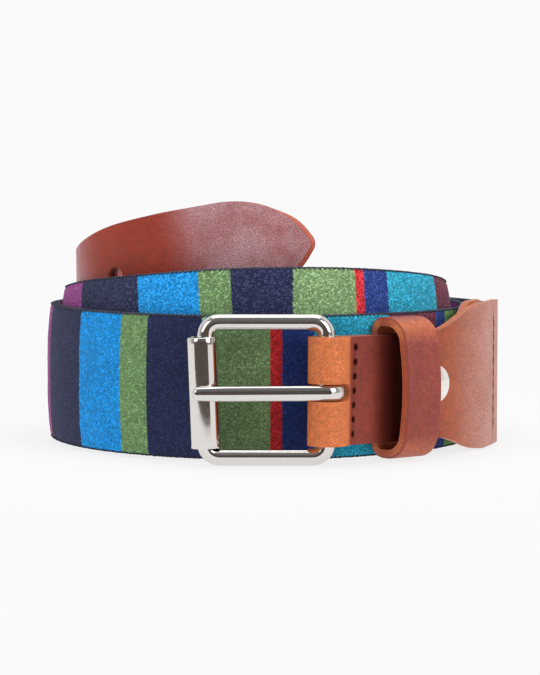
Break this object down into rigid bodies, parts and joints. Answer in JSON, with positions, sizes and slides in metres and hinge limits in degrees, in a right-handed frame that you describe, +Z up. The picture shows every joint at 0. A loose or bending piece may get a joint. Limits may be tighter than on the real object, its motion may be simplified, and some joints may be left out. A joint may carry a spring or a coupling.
{
  "type": "belt",
  "caption": "Elastic striped webbing belt with leather tabs, keeper and a roller buckle, wound in a standing coil.",
  "frame": {"origin": "centre of the coil's footprint box, on the surface it stands on", "axes": "+Z up along the webbing's width, -Y towards the buckle, +X to the buckle's right as seen from the front"},
  "size_m": [0.1264, 0.1438, 0.0677],
  "materials": {
    "webbing": "woven, matt, striped",
    "tab_leather": "waxed, satin",
    "tip_leather": "waxed, satin",
    "keeper_leather": "waxed, satin",
    "frame_metal": "polished plate",
    "roller_metal": "polished plate",
    "prong_metal": "polished plate",
    "stud_metal": "polished plate"
  },
  "bodies": {
    "belt": {"elastic_webbing": "webbing", "buckle_tab": "tab_leather", "tip_tab": "tip_leather", "keeper_loop": "keeper_leather", "stud": "stud_metal"},
    "buckle": {"buckle_frame": "frame_metal"},
    "tongue": {"prong": "prong_metal"},
    "roll": {"roller": "roller_metal"}
  },
  "joints": [
    {"name": "frame_swing", "type": "hinge", "parent": "belt", "child": "buckle", "pos_m": [0.01445, -0.06496, 0.0199], "axis": [0, 0, 1], "range_deg": [0, 40]},
    {"name": "prong_swing", "type": "hinge", "parent": "buckle", "child": "tongue", "pos_m": [0.01445, -0.06496, 0.01915], "axis": [0, 0, 1], "range_deg": [0, 60]},
    {"name": "roller_spin", "type": "hinge", "parent": "buckle", "child": "roll", "pos_m": [-0.01703, -0.06496, 0.01905], "axis": [-0.0366, 0, 0.9993], "continuous": true}
  ]
}
